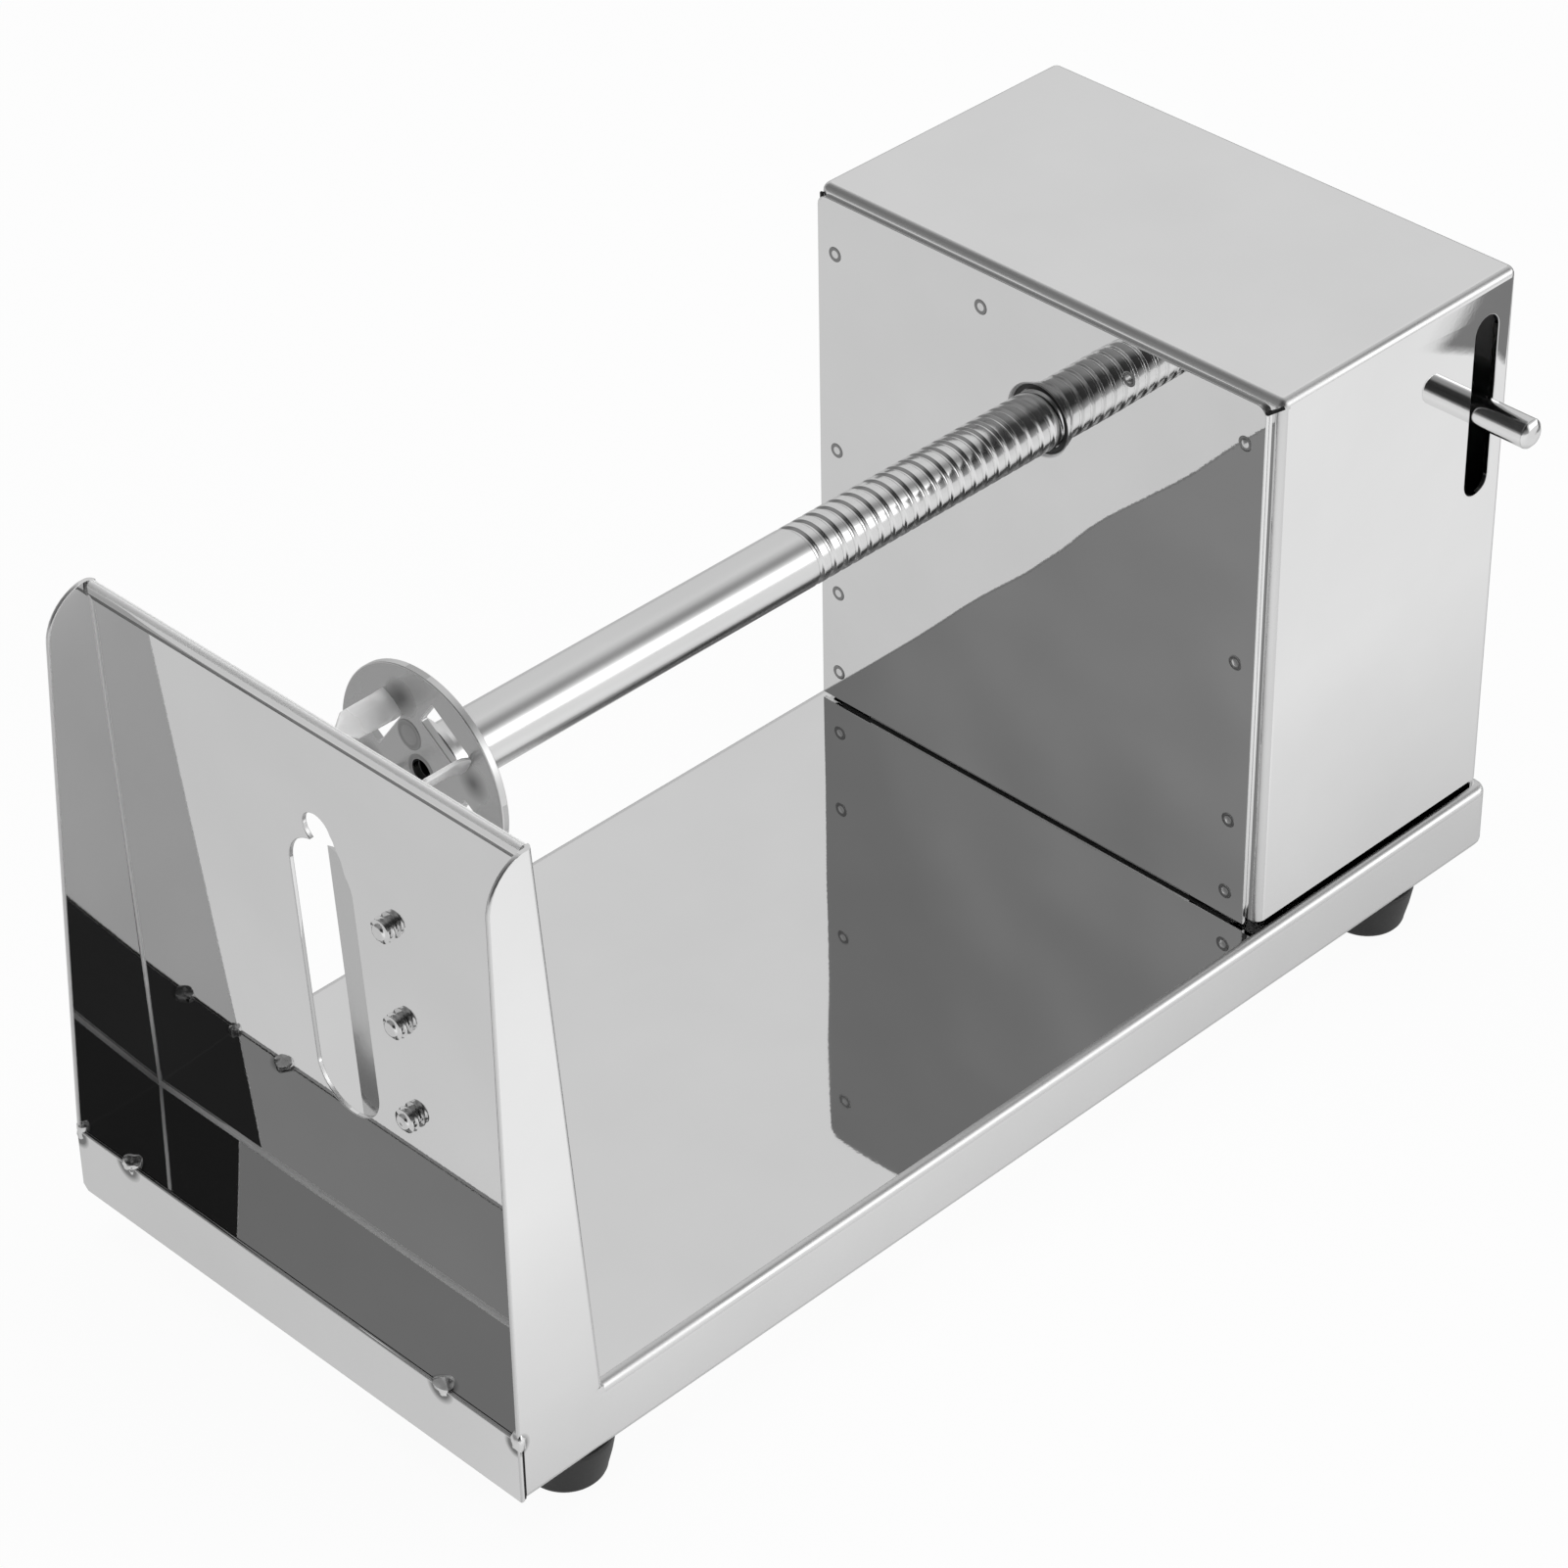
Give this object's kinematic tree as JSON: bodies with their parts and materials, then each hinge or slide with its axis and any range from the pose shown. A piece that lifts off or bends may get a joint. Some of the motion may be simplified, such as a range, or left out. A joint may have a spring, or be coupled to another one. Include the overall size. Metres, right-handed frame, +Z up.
{
  "type": "hand cranked spiral potato cutter",
  "caption": "Bench cutter whose crank turns and feeds a pronged, threaded shaft, so a potato is driven past a fixed blade in an upright plate and comes out as one spiral.",
  "frame": {"origin": "centre of the skewer hole in the pronged disc, at the disc's front face, on the shaft's axis", "axes": "+X along the shaft from the blade plate to the crank, +Y across the base away from the release pin, +Z up"},
  "size_m": [0.4506, 0.1715, 0.1872],
  "materials": {
    "polished_sheet": "polished",
    "welds": "heat tinted",
    "machined_steel": "turned and polished",
    "fasteners": "satin",
    "blade_steel": "ground",
    "polymer": "satin black",
    "foot_rubber": "matt",
    "grip_plastic": "satin black",
    "brass": "machined",
    "spring_steel": "drawn wire"
  },
  "bodies": {
    "frame": {"base_tray": "polished_sheet", "front_lip": "polished_sheet", "corner_welds": "welds", "lip_welds": "welds", "blade_plate": "polished_sheet", "slicing_blade": "blade_steel", "blade_screws": "fasteners", "casing_wrap": "polished_sheet", "front_panel": "polished_sheet", "back_panel": "polished_sheet", "front_spot_welds": "welds", "back_spot_welds": "welds", "front_bearing_plate": "machined_steel", "rear_bearing_plate": "machined_steel", "casing_screws": "fasteners", "casing_nuts": "fasteners", "pivot_pin": "machined_steel", "pivot_clip": "fasteners", "spring_stud": "machined_steel", "rubber_feet": "foot_rubber", "foot_screws": "fasteners", "foot_nuts": "fasteners", "return_spring": "spring_steel"},
    "release": {"release_yoke": "machined_steel", "half_nut": "brass", "half_nut_screws": "fasteners", "release_pin": "machined_steel"},
    "bushes": {"front_bush": "polymer", "rear_bush": "polymer"},
    "screw": {"lead_screw": "machined_steel", "shaft_flange": "machined_steel", "prong_disc": "polished_sheet", "disc_rivets": "fasteners", "crank_arm": "machined_steel", "crank_screw": "fasteners", "grip_spindle": "machined_steel", "spindle_nut": "fasteners", "grip_washer": "fasteners"},
    "grip": {"handle_grip": "grip_plastic"}
  },
  "joints": [
    {"name": "crank_turn", "type": "hinge", "parent": "frame", "child": "bushes", "pos_m": [0.205, 0, 0], "axis": [1, 0, 0], "range_deg": [0, 10800]},
    {"name": "screw_feed", "type": "slide", "parent": "bushes", "child": "screw", "axis": [1, 0, 0], "range_m": [0, 0.1201]},
    {"name": "grip_spin", "type": "hinge", "parent": "screw", "child": "grip", "pos_m": [0.353, 0.02644, -0.0755], "axis": [1, 0, 0], "continuous": true},
    {"name": "release_lever", "type": "hinge", "parent": "frame", "child": "release", "pos_m": [0.28, 0.052, 0], "axis": [1, 0, 0], "range_deg": [0, 8.5], "stiffness_Nm_per_rad": 2, "springref_deg": -11.46, "deforming": ["return_spring"]}
  ],
  "couplings": [
    {"joint": "screw_feed", "follows": "crank_turn", "m_per_rad": 0.00063662}
  ]
}
